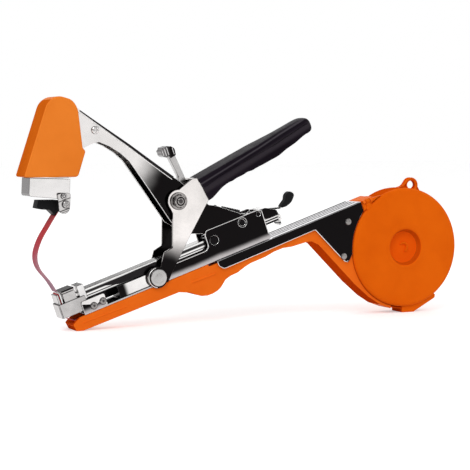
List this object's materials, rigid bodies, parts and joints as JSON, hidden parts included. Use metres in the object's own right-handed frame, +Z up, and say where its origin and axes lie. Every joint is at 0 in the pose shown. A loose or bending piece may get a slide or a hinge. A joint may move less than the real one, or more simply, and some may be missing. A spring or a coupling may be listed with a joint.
{
  "type": "plant tying tool",
  "caption": "One-handed tapener that loops garden tape round a stem, staples it and cuts it, with a tape reel at the rear and a clincher head on a pivoting arm.",
  "frame": {"origin": "middle of the tool's box on the surface it stands on, at the level of the reel's foot and the jaw's tip", "axes": "+X from the jaw's nose to the tape reel, +Y away from the reel cover's side, +Z up"},
  "size_m": [0.3222, 0.0282, 0.1508],
  "materials": {
    "orange_plastic": "moulded, fine satin",
    "grip_plastic": "moulded, satin black",
    "black_plastic": "satin black",
    "chromed_steel": "polished plating",
    "steel": "nickel plated sheet",
    "black_steel": "black coated sheet",
    "spring_wire": "dark spring wire",
    "red_tape": "soft glossy film",
    "wound_tape": "wound roll of the same film"
  },
  "bodies": {
    "frame": {"frame_channel": "steel", "main_pin": "steel", "lever_pin": "steel", "frame_stud_near": "steel", "frame_stud_far": "steel", "bracket_rivet_near_1": "chromed_steel", "bracket_rivet_near_2": "chromed_steel", "bracket_rivet_far_1": "chromed_steel", "bracket_rivet_far_2": "chromed_steel", "magazine": "chromed_steel", "magazine_saddle": "black_plastic", "staple_stick": "steel", "nose_band": "chromed_steel", "nose_plate": "chromed_steel", "cutter_blade": "steel", "nose_block": "chromed_steel", "nose_cap": "black_plastic", "track_block": "steel", "spine_channel": "black_steel", "spine_rivet_near_1": "chromed_steel", "spine_rivet_near_2": "chromed_steel", "spine_rivet_far_1": "chromed_steel", "spine_rivet_far_2": "chromed_steel", "body_shell": "orange_plastic", "hinge_pin": "steel", "tape_run": "red_tape", "tape_span": "red_tape", "reel_housing": "orange_plastic", "hang_eye": "orange_plastic", "spring_post": "steel", "return_spring": "spring_wire"},
    "arm": {"arm_channel": "steel", "spring_anchor": "steel", "arm_screw": "chromed_steel", "head_cover": "orange_plastic", "clincher_block": "chromed_steel", "catch_pin": "chromed_steel", "pivot_bolt": "chromed_steel", "pivot_nut": "chromed_steel", "pivot_washer_near": "chromed_steel", "pivot_washer_far": "chromed_steel", "pivot_spacer_near": "steel", "pivot_spacer_far": "steel"},
    "catch": {"tape_catch": "black_plastic", "catch_lever": "chromed_steel", "catch_screw": "chromed_steel"},
    "handle": {"handle_channel": "steel", "link_pin": "steel", "grip": "grip_plastic"},
    "lock": {"lock_lever": "chromed_steel", "lock_tab": "black_steel"},
    "link": {"drive_link": "chromed_steel"},
    "lever": {"release_lever": "black_steel", "lever_tab": "black_plastic"},
    "driver": {"staple_driver": "steel"},
    "pusher": {"staple_pusher": "steel"},
    "cover": {"reel_cover": "orange_plastic"},
    "roll": {"tape_roll": "wound_tape"}
  },
  "joints": [
    {"name": "arm_pivot", "type": "hinge", "parent": "frame", "child": "arm", "pos_m": [-0.00878, 0, 0.06747], "axis": [0, 1, 0], "range_deg": [-20, 0], "stiffness_Nm_per_rad": 0.8, "springref_deg": 28.65, "deforming": ["return_spring", "tape_span"]},
    {"name": "handle_pivot", "type": "hinge", "parent": "arm", "child": "handle", "pos_m": [-0.05627, 0, 0.08285], "axis": [0, 1, 0], "range_deg": [0, 41.3]},
    {"name": "link_slide", "type": "slide", "parent": "frame", "child": "link", "axis": [-0.9455, 0, -0.3256], "range_m": [0, 0.0219]},
    {"name": "lever_press", "type": "hinge", "parent": "frame", "child": "lever", "pos_m": [0.00335, 0, 0.07282], "axis": [0, 1, 0], "range_deg": [0, 15.1]},
    {"name": "driver_lift", "type": "slide", "parent": "frame", "child": "driver", "axis": [-0.3256, 0, 0.9455], "range_m": [0, 0.00605]},
    {"name": "lock_pivot", "type": "hinge", "parent": "arm", "child": "lock", "pos_m": [-0.05627, 0, 0.08285], "axis": [0, 1, 0], "range_deg": [-12, 0]},
    {"name": "catch_pivot", "type": "hinge", "parent": "arm", "child": "catch", "pos_m": [-0.13558, 0, 0.08743], "axis": [0, 1, 0], "range_deg": [-8, 0], "stiffness_Nm_per_rad": 0.02, "springref_deg": 17.19},
    {"name": "pusher_slide", "type": "slide", "parent": "frame", "child": "pusher", "axis": [0.9455, 0, 0.3256], "range_m": [0, 0.06], "stiffness_N_per_m": 40, "springref_m": -0.05},
    {"name": "cover_hinge", "type": "hinge", "parent": "frame", "child": "cover", "pos_m": [0.09193, -0.0102, 0.08216], "axis": [-0.9455, 0, -0.3256], "range_deg": [0, 100]},
    {"name": "roll_spin", "type": "hinge", "parent": "frame", "child": "roll", "pos_m": [0.11881, 0, 0.04678], "axis": [0, 1, 0], "continuous": true}
  ],
  "couplings": [
    {"joint": "handle_pivot", "follows": "arm_pivot", "ratio": -2.06},
    {"joint": "link_slide", "follows": "arm_pivot", "m_per_rad": -0.0625},
    {"joint": "lever_press", "follows": "arm_pivot", "ratio": -0.75},
    {"joint": "driver_lift", "follows": "arm_pivot", "m_per_rad": -0.01719}
  ]
}
